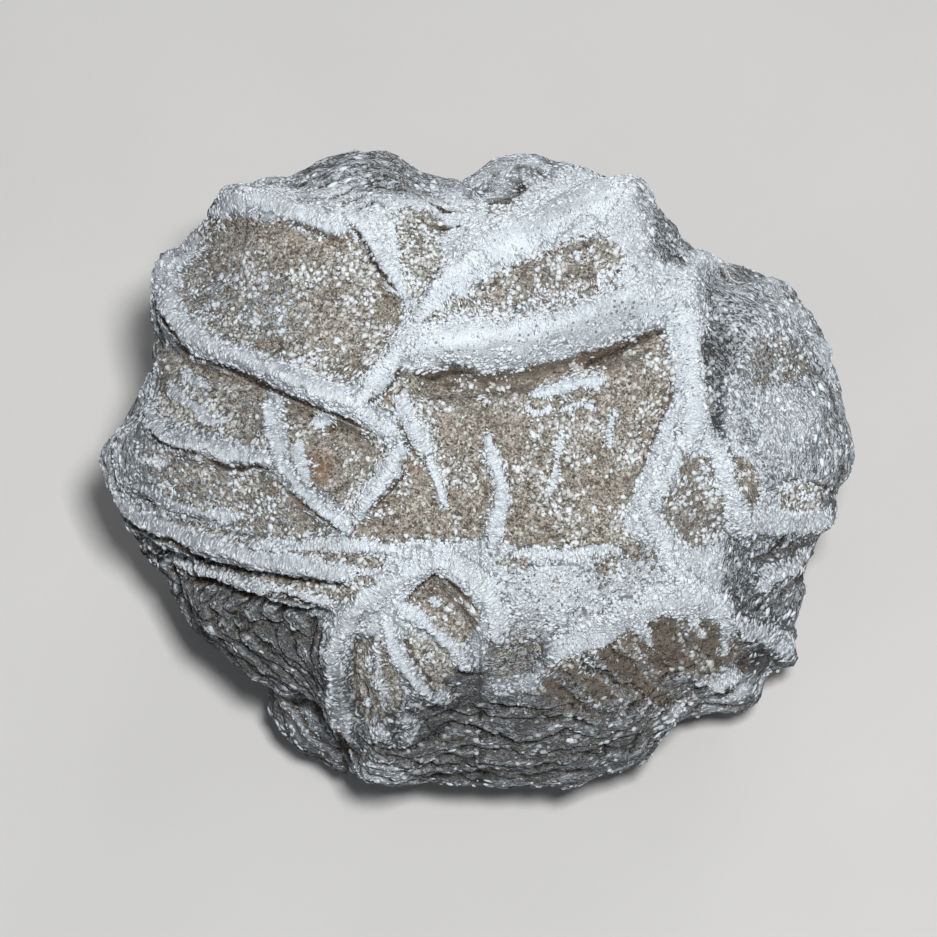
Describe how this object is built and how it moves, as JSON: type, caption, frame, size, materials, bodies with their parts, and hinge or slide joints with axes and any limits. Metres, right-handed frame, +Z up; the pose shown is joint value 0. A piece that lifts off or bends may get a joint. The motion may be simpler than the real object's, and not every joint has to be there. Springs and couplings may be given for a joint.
{
  "type": "desert rose selenite crystal",
  "caption": "Small worn desert rose: sandy gypsum blades grown together into one rounded stone, with white rims round sunken sandy faces, resting on a small flat spot.",
  "frame": {"origin": "under the middle of the stone's bounding box, on the surface it rests on", "axes": "+X along the stone's longest extent, +Z up; the show face leans toward -Y, its normal 70 degrees above the horizon"},
  "size_m": [0.0502, 0.0432, 0.0298],
  "materials": {
    "sandy_gypsum": "matt, sandy, with a white weathered crust on the rims"
  },
  "bodies": {
    "root": {"selenite_rose": "sandy_gypsum"}
  },
  "joints": []
}
